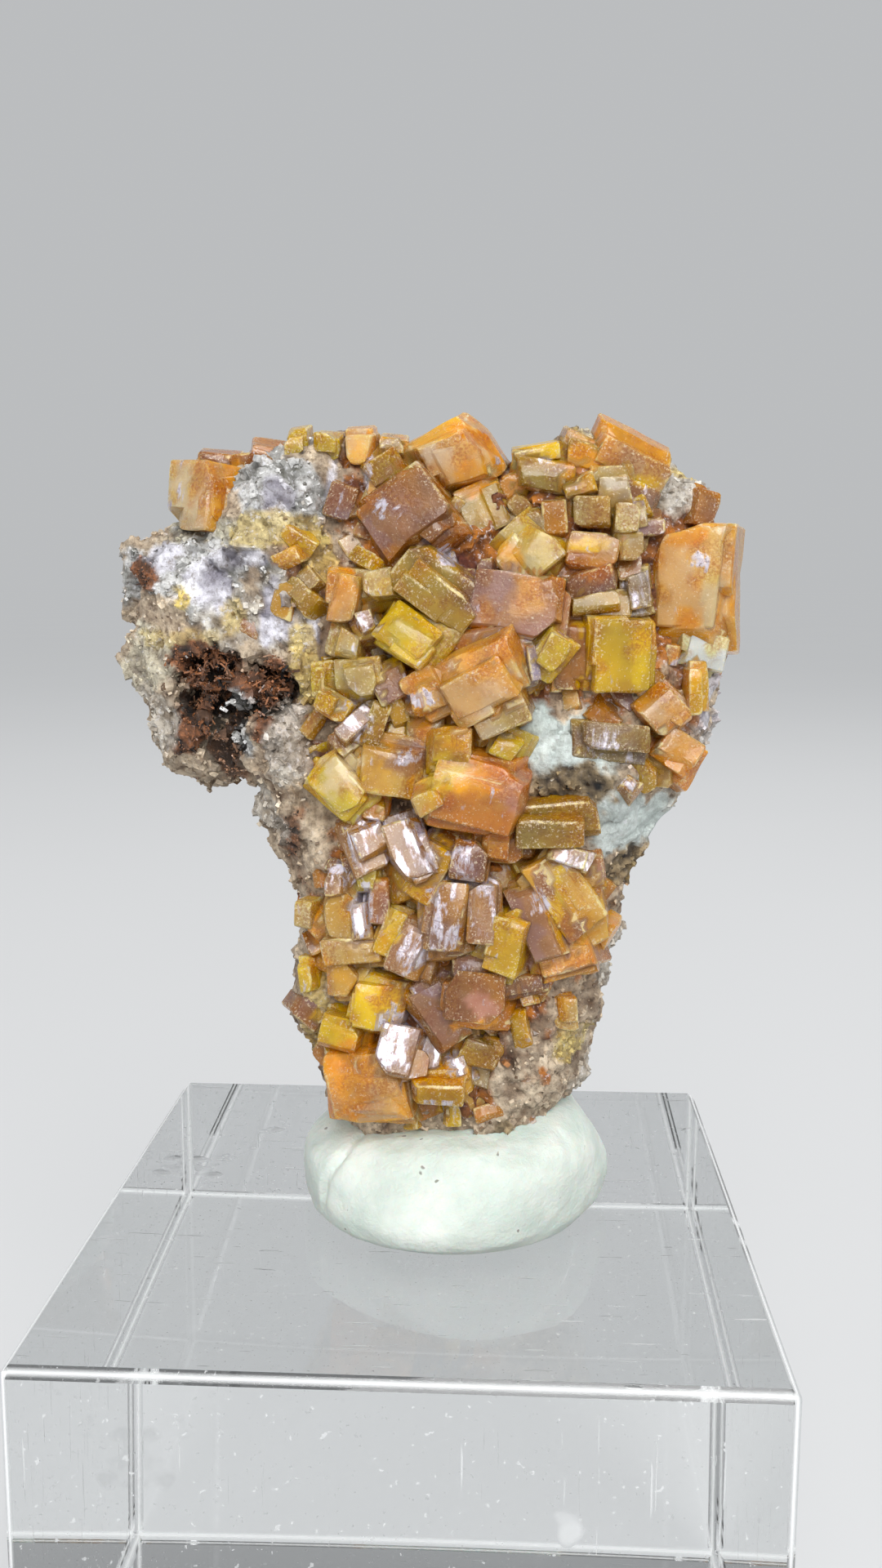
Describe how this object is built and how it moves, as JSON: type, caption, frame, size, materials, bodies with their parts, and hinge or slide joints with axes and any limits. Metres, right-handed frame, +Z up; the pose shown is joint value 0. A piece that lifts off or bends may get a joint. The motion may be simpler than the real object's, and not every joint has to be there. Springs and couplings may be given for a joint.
{
  "type": "wulfenite specimen",
  "caption": "Blocky honey, orange and yellow wulfenite crystals grown over pale pitted rock, set with a putty pad on a clear acrylic block.",
  "frame": {"origin": "centre of the acrylic block's underside", "axes": "+Z up, -Y towards the side with the crystals, +X to its right as seen from the front"},
  "size_m": [0.0382, 0.0382, 0.0718],
  "materials": {
    "orange_crystal": "glossy",
    "yellow_crystal": "glossy",
    "brown_crystal": "glossy",
    "rock": "rough",
    "putty": "satin",
    "acrylic": "polished"
  },
  "bodies": {
    "root": {"peak_crystals": "orange_crystal", "upper_right_crystals": "yellow_crystal", "right_edge_crystal": "orange_crystal", "yellow_square_crystals": "yellow_crystal", "centre_crystals": "brown_crystal", "left_front_crystals": "yellow_crystal", "big_orange_crystals": "orange_crystal", "yellow_rhomb_crystals": "yellow_crystal", "lower_orange_crystals": "orange_crystal", "shiny_prisms": "brown_crystal", "right_lower_crystals": "orange_crystal", "orange_pair_crystals": "orange_crystal", "left_column_crystals": "yellow_crystal", "bottom_crystals": "orange_crystal", "upper_left_crystals": "orange_crystal", "matrix": "rock", "putty": "putty", "acrylic_block": "acrylic"}
  },
  "joints": []
}
